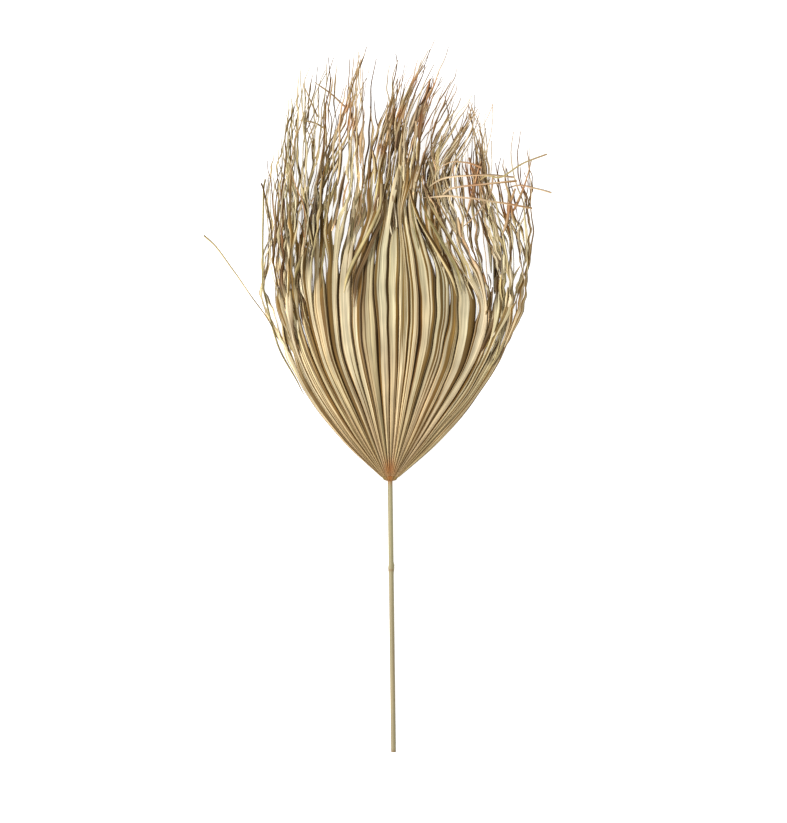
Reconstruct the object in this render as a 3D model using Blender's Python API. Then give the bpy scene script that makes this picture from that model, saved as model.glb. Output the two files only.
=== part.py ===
"""A dried fan palm leaf, lying face up on a table, in metres with +Z up.

The leaf is two bodies. The petiole is the round stem with one knuckle. The blade is a pleated fan
whose segments are joined side by side near the stem and then run free, each parting into three
strips. The blade is one open pleated sheet, built in leaf coordinates (the hub, where the blade
meets the petiole, is at x = y = 0, the tips point along +Y) and then raised straight up by its
thickness. At the end both bodies are moved so that the origin is under the middle of the leaf.
"""

import math
import random

import bmesh
import bpy
from mathutils import Matrix, Vector

MM = 0.001

# Petiole
PETIOLE_LENGTH = 394 * MM
PETIOLE_RADIUS = 3.6 * MM
PETIOLE_SIDE_SHIFT = 5.0 * MM
PETIOLE_TONGUE = 16 * MM
PETIOLE_FLAT = 0.12 * MM
KNUCKLE_Y = -129 * MM
KNUCKLE_SWELL = 1.32
TOUCH_GAP = 0.3 * MM

# Blade
SEGMENTS = 32
STRIPS_PER_SEGMENT = 3
HUB_HEIGHT = 10 * MM
HUB_SWELL = 2.6 * MM
HUB_SWELL_RADIUS = 15 * MM
BLADE_THICKNESS = 1.2 * MM
SHOULDER = 0.3
PLEAT_DEPTH = 4.5 * MM
PLEAT_SLOPE = 1.25
FREE_SLOPE = 0.7
ARCH_HEIGHT = 17 * MM
EDGE_PRESS = 3.0 * MM
SEGMENT_HALF_WIDTH = 4.6 * MM
STRIP_WIDTHS = (2.6 * MM, 4.2 * MM)
TIP_WIDTH = 1.2 * MM
FREE_ARCH = 0.3
LAYERS = 8
LAYER_STEP = 6.4 * MM
LAYER_OF = (0, 4, 2, 6, 1, 5, 3, 7)
SEED = 30

# The flow of the fan: each line starts at the hub and passes through six evenly spaced points, in
# millimetres right of and above the hub. Its first number is its place across the fan, from -1 at
# the left edge to 1 at the right. The two lines that nearly share a place part the tufts at the top.
FLOW_LINES = (
    (-1.00, ((-70, 56), (-125, 128), (-160, 212), (-178, 292), (-183, 368), (-180, 440))),
    (-0.93, ((-67, 60), (-119, 136), (-150, 221), (-159, 309), (-155, 401), (-158, 491))),
    (-0.75, ((-66, 76), (-115, 165), (-139, 261), (-140, 362), (-129, 463), (-125, 563))),
    (-0.55, ((-54, 87), (-95, 182), (-113, 284), (-109, 387), (-86, 487), (-64, 587))),
    (-0.38, ((-37, 96), (-69, 193), (-73, 294), (-57, 395), (-56, 499), (-40, 599))),
    (-0.27, ((-28, 98), (-52, 197), (-52, 298), (-29, 396), (-32, 497), (-17, 596))),
    (-0.26, ((-27, 98), (-50, 197), (-50, 298), (-24, 397), (-10, 500), (14, 599))),
    (0.00, ((-2, 102), (-3, 202), (-3, 304), (1, 405), (14, 504), (43, 602))),
    (0.18, ((19, 99), (32, 199), (33, 299), (16, 400), (32, 499), (67, 593))),
    (0.36, ((39, 95), (70, 191), (73, 292), (40, 387), (50, 489), (95, 577))),
    (0.52, ((52, 80), (90, 165), (110, 256), (89, 350), (83, 443), (103, 534))),
    (0.70, ((64, 76), (118, 160), (140, 258), (126, 357), (118, 456), (116, 556))),
    (0.86, ((66, 62), (123, 129), (163, 211), (168, 299), (153, 388), (160, 477))),
    (1.00, ((72, 54), (130, 123), (175, 202), (193, 291), (201, 381), (211, 470))),
)

# Rows of the joined part of the sheet, as shares of a flow line's length.
HUB_ROW = 0.007
JOINED_ROWS = (HUB_ROW, 0.03, 0.08, 0.15, 0.23, 0.31, 0.37, 0.43, 0.49, 0.55, 0.61)
SPLIT_AT_MIDDLE = 0.56
SPLIT_AT_SIDE = 0.36
FREE_ROW_STEP = 0.034
RAMP = 0.18

# Strips that leave the flow: the points that (segment, strip) follows after it parts from its
# segment, in millimetres right of, beyond and above the hub's foot on the table. One sticks out to
# the left and the others lie bent over to the right, on top of the rest.
STRAYS = {
    (0, 0): ((-184, 240, 4), (-205, 270, 6), (-228, 302, 6), (-249, 331, 5), (-268, 351, 4)),
    (19, 2): ((35, 430, 50), (68, 420, 59), (112, 407, 61), (158, 395, 60), (201, 383, 58)),
    (23, 2): ((84, 392, 51), (97, 410, 55), (118, 424, 60), (146, 424, 62), (179, 419, 61)),
    (27, 2): ((136, 370, 44), (142, 402, 50), (158, 432, 56), (190, 446, 60), (222, 460, 60)),
    (31, 2): ((184, 236, 40), (192, 304, 48), (195, 366, 50), (204, 400, 53), (228, 405, 55)),
}


def smooth(x):
    """0 below 0, 1 above 1, and a smooth step between them."""
    x = min(1.0, max(0.0, x))
    return x * x * (3 - 2 * x)


def mix(a, b, share):
    return a + (b - a) * share


def catmull_rom(points, place):
    """The point at place, from 0 to len(points) - 1, on a smooth curve through the points."""
    k = min(int(place), len(points) - 2)
    t = place - k
    before = points[k - 1] if k else 2 * points[0] - points[1]
    after = points[k + 2] if k + 2 < len(points) else 2 * points[-1] - points[-2]
    a, b = points[k], points[k + 1]
    return 0.5 * (2 * a + (b - before) * t + (2 * before - 5 * a + 4 * b - after) * t * t
                  + (3 * a - before - 3 * b + after) * t * t * t)


def flow(place, share):
    """The point on the fan at a place across it, at this share of the way from the hub to the tips."""
    k = 1
    while k < len(FLOW_LINES) - 1 and FLOW_LINES[k][0] < place:
        k += 1
    (left_place, left), (right_place, right) = FLOW_LINES[k - 1], FLOW_LINES[k]
    across = (place - left_place) / (right_place - left_place)
    points = [Vector((0, 0))]
    points += [Vector(a).lerp(Vector(b), across) * MM for a, b in zip(left, right)]
    return catmull_rom(points, share * (len(points) - 1))


def sheet_height(place, share):
    """Height of the lower folds: level at the hub, arched in the middle, pressed down at the sides."""
    rise = smooth(share / 0.4)
    return mix(HUB_HEIGHT, mix(HUB_HEIGHT + ARCH_HEIGHT, -EDGE_PRESS, abs(place) ** 1.7), rise)


def pitch_at(place, share):
    """Distance across one segment."""
    half = 1 / SEGMENTS
    return (flow(place + half, share) - flow(place - half, share)).length


def pleat_depth(place, share):
    """Height of a pleat's shoulders over its lower folds, as deep as its slope allows."""
    return min(PLEAT_DEPTH, PLEAT_SLOPE * SHOULDER * pitch_at(place, share))


def split_row(fold, rng):
    """Row where the lower fold between two segments splits: early at the sides, late in the middle."""
    place = -1 + 2 * fold / SEGMENTS
    share = mix(SPLIT_AT_MIDDLE, SPLIT_AT_SIDE, place * place) + rng.uniform(-0.06, 0.06)
    return min(range(len(JOINED_ROWS)), key=lambda row: abs(JOINED_ROWS[row] - share))


class Wander:
    """How a free segment strays from the flow: a sideways wave, a rise into its layer and a roll."""

    def __init__(self, index, start, rng):
        self.start = start
        self.wave = rng.uniform(2.0, 4.5) * MM
        self.cycles = rng.uniform(2.5, 4.0)
        self.phase = rng.uniform(0, math.tau)
        self.lean = rng.uniform(-4, 4) * MM
        self.layer = LAYER_OF[index % LAYERS] * LAYER_STEP
        self.bob = rng.uniform(0.2, 0.8) * MM
        self.roll = math.radians(rng.uniform(-12, 12))

    def at(self, share):
        """(sideways, up, roll) at a share of the way to the tips."""
        ramp = smooth((share - self.start) / RAMP)
        turn = math.tau * self.cycles * (share - self.start)
        sideways = ramp * ramp * (self.wave * math.sin(turn + self.phase) + self.lean * share)
        up = ramp * (self.layer + self.bob * math.sin(0.7 * turn + self.phase))
        return sideways, up, ramp * self.roll * math.sin(0.5 * turn + self.phase)


class Segment:
    """One ribbon of the fan, with a flat top between two shoulders and a lower fold at each side."""

    def __init__(self, index, splits):
        rng = random.Random(SEED * 1000 + index)
        self.index = index
        self.left, self.right = (-1 + 2 * (index + side) / SEGMENTS for side in (0, 1))
        self.place = (self.left + self.right) / 2
        self.split_left, self.split_right = splits[index], splits[index + 1]
        self.free_row = max(self.split_left, self.split_right)
        self.start = JOINED_ROWS[self.free_row]
        self.fork = self.start + rng.uniform(0.08, 0.18)
        self.wander = Wander(index, self.start, rng)
        self.ends = [rng.uniform(0.84, 1.0) for _ in range(STRIPS_PER_SEGMENT)]
        self.widths = [rng.uniform(*STRIP_WIDTHS) for _ in range(STRIPS_PER_SEGMENT)]
        self.spread = rng.uniform(5.0, 8.5) * MM
        self.lift = rng.choice((-1.9, 1.9)) * MM

    def joined_row(self, share):
        """Lower fold, two shoulders and lower fold, where both folds belong to the joined fan."""
        row = []
        for across in (0, SHOULDER, 1 - SHOULDER, 1):
            place = mix(self.left, self.right, across)
            point = flow(place, share).to_3d()
            point.z = sheet_height(place, share) + (0 if across in (0, 1) else pleat_depth(place, share))
            row.append(point)
        return row

    def frame(self, share):
        """(centre, right, up) of the free segment, strayed and rolled."""
        sideways, up, roll = self.wander.at(share)
        freed = smooth((share - self.start) / RAMP)
        ahead = (flow(self.place, share + 0.01) - flow(self.place, share - 0.01)).normalized()
        across = (flow(self.right, share) - flow(self.left, share)).normalized()
        right = across.lerp(Vector((ahead.y, -ahead.x)), freed).to_3d().normalized()
        centre = flow(self.place, share).to_3d() + right * sideways
        centre.z = sheet_height(self.place, share) * mix(1, FREE_ARCH, freed) + up
        turn = Matrix.Rotation(roll, 3, Vector((ahead.x, ahead.y, 0)))
        return centre, turn @ right, turn @ Vector((0, 0, 1))

    def half_width(self, share):
        return min(SEGMENT_HALF_WIDTH, 0.42 * pitch_at(self.place, share))

    def free_row_at(self, share):
        """The same four points where the segment is free at both sides."""
        centre, right, up = self.frame(share)
        half = self.half_width(share)
        slope = mix(PLEAT_SLOPE, FREE_SLOPE, smooth((share - self.start) / RAMP))
        rise = min(PLEAT_DEPTH, slope * 2 * SHOULDER * half)
        offsets = ((-1, 0), (2 * SHOULDER - 1, rise), (1 - 2 * SHOULDER, rise), (1, 0))
        return [centre + right * (half * out) + up * height for out, height in offsets]

    def strip_row(self, strip, share):
        """The two edges of a strip that has parted from its segment."""
        parting = self.free_row_at(self.fork)[strip:strip + 2]
        along = (share - self.fork) / (self.ends[strip] - self.fork)
        opened = smooth(along / 0.5)
        side = strip - 1
        centre, right, up = self.frame(share)
        parted_at = self.frame(self.fork)[0]
        middle = (parting[0] + parting[1]) / 2 - parted_at
        half = (parting[1] - parting[0]) / 2
        if (self.index, strip) in STRAYS:
            centre, right = self.stray(strip, along, parted_at)
        else:
            centre += right * (side * self.spread * opened) + up * (side * self.lift * opened)
        width = mix(self.widths[strip], TIP_WIDTH, along ** 1.5)
        edge = half.lerp(right * (width / 2), opened)
        return centre + middle * (1 - opened) - edge, centre + middle * (1 - opened) + edge

    def stray(self, strip, along, start):
        """(centre, right) on the path of a strip that leaves the flow."""
        route = [start] + [Vector(point) * MM for point in STRAYS[self.index, strip]]
        place = along * (len(route) - 1)
        centre = catmull_rom(route, place)
        ahead = catmull_rom(route, place + 0.05) - catmull_rom(route, max(0, place - 0.05))
        return centre, Vector((ahead.y, -ahead.x, 0)).normalized()

    def free_shares(self, first, last):
        """Evenly spaced rows past first, up to last."""
        count = max(2, round((last - first) / FREE_ROW_STEP))
        return [mix(first, last, k / count) for k in range(1, count + 1)]


def add_rows(sheet, rows):
    """Faces between each pair of neighbouring rows of points, from left to right."""
    rows = [[sheet.verts.new(point) for point in row] for row in rows]
    for below, above in zip(rows, rows[1:]):
        for k in range(len(below) - 1):
            sheet.faces.new((below[k], below[k + 1], above[k + 1], above[k]))


def add_segment(sheet, segment):
    rows = []
    for row, share in enumerate(JOINED_ROWS[:segment.free_row + 1]):
        points = segment.joined_row(share)
        if row > segment.split_left:
            points[0] = points[0].lerp(points[1], 0.25)
        if row > segment.split_right:
            points[3] = points[3].lerp(points[2], 0.25)
        rows.append(points)
    rows += [segment.free_row_at(s) for s in segment.free_shares(segment.start, segment.fork)]
    add_rows(sheet, rows)
    for strip in range(STRIPS_PER_SEGMENT):
        first = rows[-1][strip:strip + 2]
        shares = segment.free_shares(segment.fork, segment.ends[strip])
        add_rows(sheet, [first] + [segment.strip_row(strip, share) for share in shares])


def make_blade(material, collection):
    """The pleated sheet, split into triangles alike on both faces, raised by its thickness."""
    rng = random.Random(SEED)
    splits = [split_row(fold, rng) for fold in range(SEGMENTS + 1)]
    splits[0] = splits[-1] = 1
    sheet = bmesh.new()
    for index in range(SEGMENTS):
        add_segment(sheet, Segment(index, splits))
    bmesh.ops.remove_doubles(sheet, verts=sheet.verts, dist=0.00001)
    bmesh.ops.triangulate(sheet, faces=sheet.faces)
    for vert in sheet.verts:
        vert.co.z = max(0.0, vert.co.z)
    raised = bmesh.ops.extrude_face_region(sheet, geom=sheet.faces, use_keep_orig=True)["geom"]
    for vert in (part for part in raised if isinstance(part, bmesh.types.BMVert)):
        swell = HUB_SWELL * math.exp(-(vert.co.xy.length / HUB_SWELL_RADIUS) ** 2)
        vert.co.z += BLADE_THICKNESS + swell
    bmesh.ops.recalc_face_normals(sheet, faces=sheet.faces)
    mesh = bpy.data.meshes.new("blade")
    sheet.to_mesh(mesh)
    sheet.free()
    return add_object("blade", mesh, material, collection)


def petiole_centre(y):
    """Centre of the stem at y: flat on the table at the cut end, rising to the hub's underside."""
    hub_level = HUB_HEIGHT - TOUCH_GAP - PETIOLE_RADIUS
    rise = smooth(1 + y / PETIOLE_LENGTH * 1.5)
    x = -PETIOLE_SIDE_SHIFT * y / PETIOLE_LENGTH
    return Vector((x, y, mix(PETIOLE_RADIUS - PETIOLE_FLAT, hub_level, rise)))


def petiole_radius(y):
    """1 along the stem, more at its knuckle and less at the tongue under the blade."""
    knuckle = (KNUCKLE_SWELL - 1) * math.exp(-((y - KNUCKLE_Y) / (5 * MM)) ** 2)
    tongue = 0.45 * smooth(y / PETIOLE_TONGUE)
    return 1 + knuckle - tongue


def make_petiole(material, collection):
    """A tube along the stem's centre line, with a narrow flat where it lies on the table."""
    near_knuckle = [KNUCKLE_Y + k * 3 * MM for k in range(-4, 5)]
    even = [-PETIOLE_LENGTH * k / 14 for k in range(15)]
    stations = sorted(near_knuckle + [y for y in even if abs(y - KNUCKLE_Y) > 14 * MM])
    stations += [PETIOLE_TONGUE * k / 2 for k in (1, 2)]
    curve = bpy.data.curves.new("petiole_line", "CURVE")
    curve.dimensions = "3D"
    curve.bevel_depth = PETIOLE_RADIUS
    curve.bevel_resolution = 4
    curve.use_fill_caps = True
    line = curve.splines.new("POLY")
    line.points.add(len(stations) - 1)
    for point, y in zip(line.points, stations):
        scale = petiole_radius(y)
        centre = petiole_centre(y)
        if y > 0:
            centre.z += PETIOLE_RADIUS * (1 - scale)
        point.co = (*centre, 1)
        point.radius = scale
    guide = bpy.data.objects.new("petiole_guide", curve)
    bpy.context.scene.collection.objects.link(guide)
    bpy.context.view_layer.update()
    seen = guide.evaluated_get(bpy.context.evaluated_depsgraph_get())
    mesh = bpy.data.meshes.new_from_object(seen)
    bpy.data.objects.remove(guide)
    tube = bmesh.new()
    tube.from_mesh(mesh)
    bmesh.ops.remove_doubles(tube, verts=tube.verts, dist=0.00001)
    everything = tube.verts[:] + tube.edges[:] + tube.faces[:]
    cut = bmesh.ops.bisect_plane(tube, geom=everything, plane_co=(0, 0, 0), plane_no=(0, 0, -1),
                                 clear_outer=True)["geom_cut"]
    rim = [part for part in cut if isinstance(part, bmesh.types.BMEdge)]
    bmesh.ops.holes_fill(tube, edges=rim)
    bmesh.ops.recalc_face_normals(tube, faces=tube.faces)
    tube.to_mesh(mesh)
    tube.free()
    return add_object("petiole", mesh, material, collection)


def add_object(name, mesh, material, collection):
    mesh.name = name
    mesh.materials.clear()
    mesh.materials.append(material)
    made = bpy.data.objects.new(name, mesh)
    collection.objects.link(made)
    return made


def make_material(name, colour, roughness):
    material = bpy.data.materials.new(name)
    material.use_nodes = True
    shader = material.node_tree.nodes["Principled BSDF"]
    shader.inputs["Base Color"].default_value = (*colour, 1)
    shader.inputs["Roughness"].default_value = roughness
    shader.inputs["Metallic"].default_value = 0
    material.diffuse_color = (*colour, 1)
    return material


def centre_on_origin(objects):
    """Moves the leaf so that the origin is under the middle of its box, on the table."""
    corners = [vert.co for made in objects for vert in made.data.vertices]
    low = Vector(map(min, *corners))
    high = Vector(map(max, *corners))
    middle = (low + high) / 2
    for made in objects:
        made.data.transform(Matrix.Translation((-middle.x, -middle.y, -low.z)))


def main():
    for old in list(bpy.data.objects):
        bpy.data.objects.remove(old)
    leaf = bpy.data.collections.new("dried_palm_leaf")
    bpy.context.scene.collection.children.link(leaf)
    straw = make_material("straw", (0.50, 0.42, 0.25), 0.72)
    cane = make_material("cane", (0.44, 0.38, 0.22), 0.5)
    centre_on_origin([make_blade(straw, leaf), make_petiole(cane, leaf)])


main()
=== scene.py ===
"""Looks of the dried palm leaf: its fibrous pleated blade, frayed strips, hastula and stem.

The blade follows nearly the same flow lines as the solids, with fewer and wider pleats. The hub,
where it meets the stem, is at x = y = 0 and the tips point along +Y. Every point has its own colour.
Nothing is taken from the photograph but sizes, places and colours.

A share is the way along the flow lines, from 0 at the hub to 1 at the tips of the fan. A place is
the way across the fan, and out the way across one ribbon, half or strip, both from -1 to 1.
"""

import math
import random

import bpy
from mathutils import Matrix, Vector


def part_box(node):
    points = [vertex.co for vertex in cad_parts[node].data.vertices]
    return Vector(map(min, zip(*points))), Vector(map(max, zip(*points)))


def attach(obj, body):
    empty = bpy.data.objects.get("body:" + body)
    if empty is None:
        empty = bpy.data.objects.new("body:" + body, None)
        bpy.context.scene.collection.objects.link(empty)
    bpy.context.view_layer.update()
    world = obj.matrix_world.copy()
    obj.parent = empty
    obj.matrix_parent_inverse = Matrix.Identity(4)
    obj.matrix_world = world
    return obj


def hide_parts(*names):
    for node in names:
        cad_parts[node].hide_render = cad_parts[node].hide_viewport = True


MM = 0.001

# Stem, as in the solids
PETIOLE_LENGTH = 394 * MM
PETIOLE_RADIUS = 3.6 * MM
PETIOLE_SIDE_SHIFT = 5.0 * MM
PETIOLE_TONGUE = 16 * MM
PETIOLE_FLAT = 0.12 * MM
KNUCKLE_Y = -129 * MM
TOUCH_GAP = 0.3 * MM

# Folds: the number of ribbons, how uneven they are, and the seeds of the layout and of the looks
SEGMENTS = 24
FOLD_UNEVENNESS = 0.28
SEED = 30
TONE_SEED = 7

# The sheet of folds: level at the hub, arched in the middle by a share, pressed down at the sides
HUB_HEIGHT = 10 * MM
HUB_HALF_WIDTH = 10 * MM
ARCH_HEIGHT = 17 * MM
EDGE_PRESS = 3.0 * MM
RISEN_AT = 0.4
ARCH_POWER = 1.7

# Cross-section of a pleat, and its depth: the greatest, and for its half width where it is folded, flat
# and free
SHOULDER = 0.7
SHOULDER_POWER = 1.25
EDGE_PULL = 0.125
MIDRIB = 0.8
FLAT_FROM = 0.45
PLEAT_DEPTH = 6.0 * MM
PLEAT_SLOPE = 1.1
FLAT_SLOPE = 0.5
FREE_SLOPE = 0.32

# Free ribbons: the share of the arch that they keep, their half width, and the layers they rise to
FREE_ARCH = 0.3
RIBBON_HALF_WIDTH = 7.0 * MM
RIBBON_WIDTH_KEPT = 0.84
LAYERS = 8
LAYER_STEP = 6.4 * MM
LAYER_OF = (0, 4, 2, 6, 1, 5, 3, 7)

# The flow of the fan: the place of each line, and six evenly spaced points that it passes through, in
# millimetres right of and beyond the hub. Lines that nearly share a place part two tufts.
FLOW_LINES = (
    (-1.00, ((-70, 56), (-125, 128), (-160, 212), (-178, 292), (-183, 368), (-180, 440))),
    (-0.93, ((-67, 60), (-119, 136), (-150, 221), (-159, 309), (-155, 401), (-158, 491))),
    (-0.75, ((-62, 70), (-110, 153), (-136, 242), (-141, 342), (-131, 452), (-125, 563))),
    (-0.55, ((-51, 82), (-92, 172), (-111, 270), (-110, 375), (-88, 482), (-64, 587))),
    (-0.38, ((-37, 96), (-69, 193), (-73, 294), (-57, 395), (-56, 499), (-40, 599))),
    (-0.27, ((-28, 98), (-52, 197), (-52, 298), (-29, 396), (-38, 497), (-24, 596))),
    (-0.26, ((-27, 98), (-50, 197), (-50, 298), (-24, 397), (-6, 506), (24, 612))),
    (0.00, ((-2, 102), (-3, 202), (-3, 304), (3, 405), (15, 510), (50, 616))),
    (0.18, ((19, 99), (32, 199), (33, 299), (20, 400), (34, 505), (72, 608))),
    (0.36, ((39, 95), (70, 191), (73, 292), (44, 385), (58, 486), (96, 574))),
    (0.52, ((52, 80), (92, 165), (104, 256), (72, 342), (74, 438), (112, 526))),
    (0.66, ((61, 77), (113, 162), (132, 252), (98, 338), (80, 430), (112, 520))),
    (0.70, ((63, 73), (117, 154), (143, 244), (125, 338), (100, 434), (108, 536))),
    (0.78, ((63, 68), (117, 144), (150, 232), (150, 328), (127, 428), (116, 532))),
    (0.88, ((66, 62), (123, 129), (163, 211), (168, 299), (152, 388), (143, 485))),
    (1.00, ((72, 54), (130, 123), (175, 202), (193, 291), (199, 381), (211, 470))),
)

# Shares at which folds may split, where they tend to, and how long a free ribbon takes to rise
HUB_ROW = 0.007
JOINED_ROWS = (HUB_ROW, 0.03, 0.08, 0.15, 0.23, 0.31, 0.37, 0.43, 0.49, 0.55, 0.61)
SPLIT_AT_MIDDLE = 0.56
SPLIT_AT_SIDE = 0.34
SPLIT_POWER = 1.4
SPLIT_SPREAD = 0.06
RAMP = 0.18

# The mesh: thickness of the leaf, shares of its rows of points, and places of the points across
SHEET_THICKNESS = 0.28 * MM
ROW_STEP = 0.0085
LAST_ROW = 1.03
ROWS = [HUB_ROW + k * ROW_STEP for k in range(round((LAST_ROW - HUB_ROW) / ROW_STEP) + 1)]
INNER_PLACES = (0.0, 0.125, 0.25, 0.375, 0.5)
OUTER_PLACES = (0.7, 0.84, 0.93, 1.0)
STRIP_PLACES = (-1.0, -0.5, 0.0, 0.5, 1.0)

# The fibres that the material draws: half a pleat and the whole fan, as they count
FIBRE_WIDTH = 8 * MM
FLOW_LENGTH = 0.6

# Strips: width at the tip, depth of the crease for the half width, and width for the room there is.
# They narrow from a share on by a factor, first outside the middle tuft and then in it.
TIP_WIDTH = 2.5 * MM
CREASE = 0.7
WIDEN = 1.15
NARROWING = ((0.68, 0.72), (0.58, 0.54))
NARROWING_LENGTH = 0.22
MIDDLE_TUFT = (-0.05, 0.45)
SHORT_STRIPS = 0.22
SHORT_ENDS = (0.66, 0.84)
LONG_ENDS = (0.88, 1.03)

# Step along a line to find its direction, and the height of a triangle wave beside a sine
AHEAD = 0.01
TRIANGLE = 0.64


def smooth(x):
    """0 below 0, 1 above 1, and a smooth step between them."""
    x = min(1.0, max(0.0, x))
    return x * x * (3 - 2 * x)


def eased(x, start, length):
    """0 before start, 1 from start + length on, and a smooth step between them."""
    return smooth((x - start) / length)


def bell(x, middle, reach):
    """1 at middle, fading to almost nothing at twice the reach."""
    return math.exp(-((x - middle) / reach) ** 2)


def mix(a, b, share):
    return a + (b - a) * share


def catmull_rom(points, place):
    """The point at place, from 0 to len(points) - 1, on a smooth curve through the points."""
    k = min(max(int(place), 0), len(points) - 2)
    t = place - k
    before = points[k - 1] if k else 2 * points[0] - points[1]
    after = points[k + 2] if k + 2 < len(points) else 2 * points[-1] - points[-2]
    a, b = points[k], points[k + 1]
    return 0.5 * (2 * a + (b - before) * t + (2 * before - 5 * a + 4 * b - after) * t * t
                  + (3 * a - before - 3 * b + after) * t * t * t)


def flow_line(place):
    """The points of the flow line at a place across the fan, from its base on."""
    k = 1
    while k < len(FLOW_LINES) - 1 and FLOW_LINES[k][0] < place:
        k += 1
    (left_place, left), (right_place, right) = FLOW_LINES[k - 1], FLOW_LINES[k]
    across = (place - left_place) / (right_place - left_place)
    start = Vector((place * HUB_HALF_WIDTH, 0))
    return [start] + [Vector(a).lerp(Vector(b), across) * MM for a, b in zip(left, right)]


def on_line(line, share):
    return catmull_rom(line, share * (len(line) - 1))


def sheet_height(place, share):
    """Height of the sheet of folds."""
    arched = mix(HUB_HEIGHT + ARCH_HEIGHT, -EDGE_PRESS, abs(place) ** ARCH_POWER)
    return mix(HUB_HEIGHT, arched, smooth(share / RISEN_AT))


def fold_places():
    """Places of the lower folds, unevenly spaced."""
    rng = random.Random(SEED)
    widths = [1 + rng.uniform(-FOLD_UNEVENNESS, FOLD_UNEVENNESS) for _ in range(SEGMENTS)]
    places = [-1.0]
    for width in widths:
        places.append(places[-1] + 2 * width / sum(widths))
    return places


def split_trend(place):
    """Share at which the fan tends to split at a place: early at the sides, late in the middle."""
    return mix(SPLIT_AT_MIDDLE, SPLIT_AT_SIDE, abs(place) ** SPLIT_POWER)


def split_share(place, rng):
    """Share of the row at which the fold at a place splits."""
    share = split_trend(place) + rng.uniform(-SPLIT_SPREAD, SPLIT_SPREAD)
    return min(JOINED_ROWS, key=lambda row: abs(row - share))


def profile(out, share):
    """Height of a pleat at out: a plain fold near the hub, then flattened."""
    side = abs(out)
    if side > SHOULDER:
        flat = 1 - ((side - SHOULDER) / (1 - SHOULDER)) ** SHOULDER_POWER
    else:
        flat = mix(MIDRIB, 1, smooth(side / SHOULDER))
    return mix(1 - side, flat, smooth(share / FLAT_FROM))


def row_near(share):
    """Number of the row nearest to a share of the flow lines."""
    return min(len(ROWS) - 1, max(0, round((share - HUB_ROW) / ROW_STEP)))


def places_across():
    """Places of the points across a ribbon, four to a quarter and closest at the folds."""
    right = INNER_PLACES + OUTER_PLACES
    return [-place for place in reversed(right[1:])] + list(right)


class Crinkle:
    """Irregular waves along a strip, the same each run: part smooth and part sharply kinked."""

    def __init__(self, rng, size, cycles=(3.1, 7.3, 13.7)):
        self.waves = []
        for count in cycles:
            turns = count * rng.uniform(0.75, 1.3)
            phase = rng.uniform(0, math.tau)
            self.waves.append((turns, phase, size * cycles[0] / count))
        self.kink = rng.uniform(0.2, 0.8)

    def at(self, share):
        total = 0.0
        for turns, phase, height in self.waves:
            wave = math.sin(math.tau * turns * share + phase)
            total += height * mix(wave, TRIANGLE * math.asin(wave), self.kink)
        return total


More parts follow.
